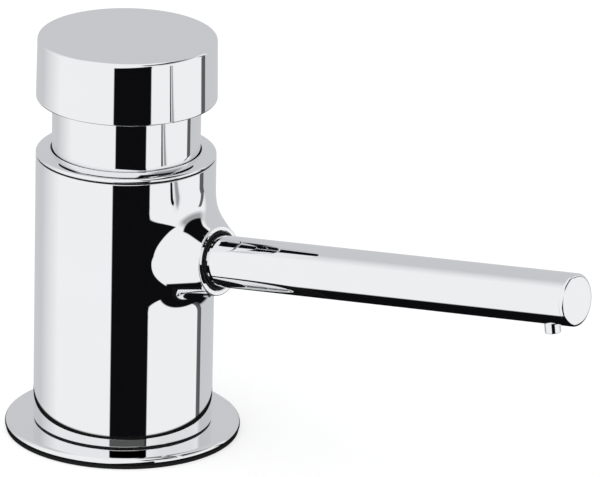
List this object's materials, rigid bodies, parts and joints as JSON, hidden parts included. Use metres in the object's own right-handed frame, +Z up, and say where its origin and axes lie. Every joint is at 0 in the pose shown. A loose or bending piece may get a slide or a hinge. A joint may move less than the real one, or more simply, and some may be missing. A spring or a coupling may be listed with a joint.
{
  "type": "soap dispenser",
  "caption": "Deck-mounted soap dispenser: chromed cylinder with a sprung push-button pump and a straight rising spout.",
  "frame": {"origin": "on the body's axis at the deck surface, under the gasket", "axes": "+Z up along the body's axis, +X along the spout seen from above, +Y to the left of the spout"},
  "size_m": [0.1649, 0.0592, 0.1553],
  "materials": {
    "chrome": "polished",
    "black_rubber": "matt",
    "white_plastic": "moulded",
    "black_plastic": "moulded",
    "steel": "bright",
    "brass": "turned",
    "clear_hose": "translucent"
  },
  "bodies": {
    "base": {"rosette": "chrome", "body_shell": "chrome", "collar_ring": "chrome", "spout_tube": "chrome", "spout_end_plug": "chrome", "spout_nozzle": "chrome", "base_gasket": "black_rubber", "body_seal": "black_rubber", "collar_seal": "black_rubber", "pump_seal": "black_rubber", "spout_o_ring": "black_rubber", "clamp_rubber": "black_rubber", "pump_housing": "white_plastic", "pump_cap": "white_plastic", "inlet_cage": "white_plastic", "outlet_elbow": "white_plastic", "outlet_block": "white_plastic", "guide_bush": "black_plastic", "return_spring": "steel", "spout_grub_screw": "steel", "clamp_washer": "steel", "pump_retainer": "brass", "threaded_shank": "brass", "fixing_nut": "brass", "feed_hose": "clear_hose", "suction_tube": "clear_hose"},
    "button": {"push_cap": "chrome", "button_sleeve": "chrome", "cap_insert": "white_plastic", "rod_screw": "steel", "piston_rod": "steel", "piston": "white_plastic", "piston_seal": "black_rubber"},
    "inlet_valve": {"inlet_ball": "steel"},
    "outlet_valve": {"outlet_ball": "steel"}
  },
  "joints": [
    {"name": "button_press", "type": "slide", "parent": "base", "child": "button", "axis": [0, 0, -1], "range_m": [0, 0.01], "stiffness_N_per_m": 800, "springref_m": -0.008, "deforming": ["return_spring"]},
    {"name": "inlet_ball_lift", "type": "slide", "parent": "base", "child": "inlet_valve", "axis": [0, 0, 1], "range_m": [0, 0.0012]},
    {"name": "outlet_ball_lift", "type": "slide", "parent": "base", "child": "outlet_valve", "axis": [0, 0, 1], "range_m": [0, 0.0012]}
  ]
}
